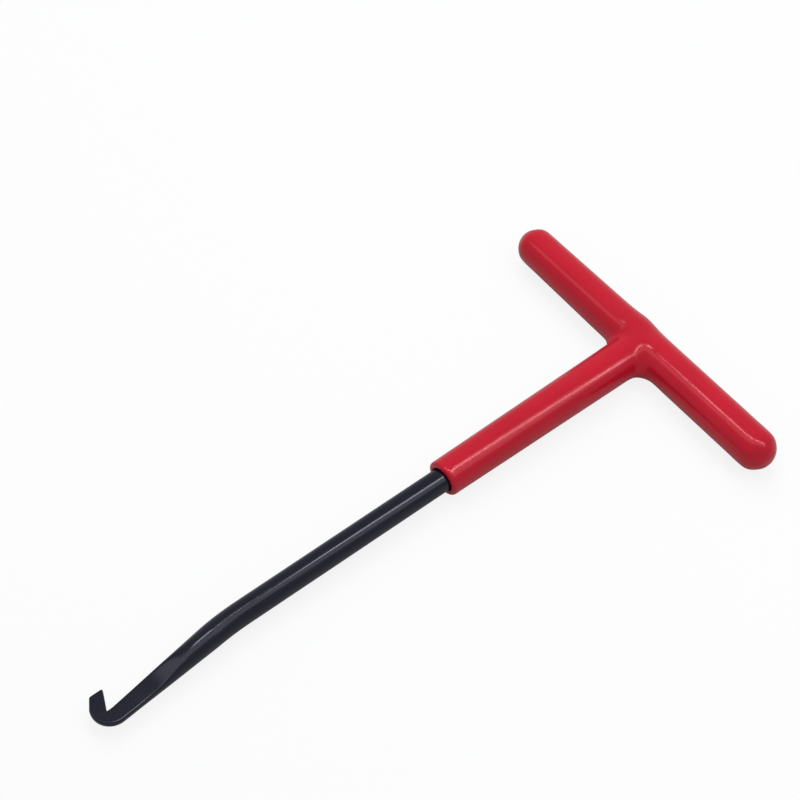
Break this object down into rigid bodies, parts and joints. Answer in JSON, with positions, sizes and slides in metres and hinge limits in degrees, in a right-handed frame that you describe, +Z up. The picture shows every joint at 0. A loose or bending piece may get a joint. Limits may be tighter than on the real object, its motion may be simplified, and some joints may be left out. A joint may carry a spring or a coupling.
{
  "type": "spring puller tool",
  "caption": "T-handled spring puller: a black steel rod whose flattened, bent end hooks spring loops, welded to a cross bar under a red dipped vinyl grip.",
  "frame": {"origin": "on the table under the middle of the tool's box, with the tool lying flat as it comes to rest on the cross grip and the sleeve's lip", "axes": "+X along the tool from the T grip to the hook, +Y along the cross grip towards the fuller arm and the side that the blade bends to, +Z up from the table"},
  "size_m": [0.226, 0.1194, 0.014],
  "materials": {
    "black_steel": "semi-gloss black baked coat on forged steel",
    "bare_steel": "mill finish, hidden inside the grip",
    "red_vinyl": "glossy soft dipped vinyl"
  },
  "bodies": {
    "root": {"hook_rod": "black_steel", "cross_bar": "bare_steel", "weld_bead": "bare_steel", "grip_cover": "red_vinyl"}
  },
  "joints": []
}
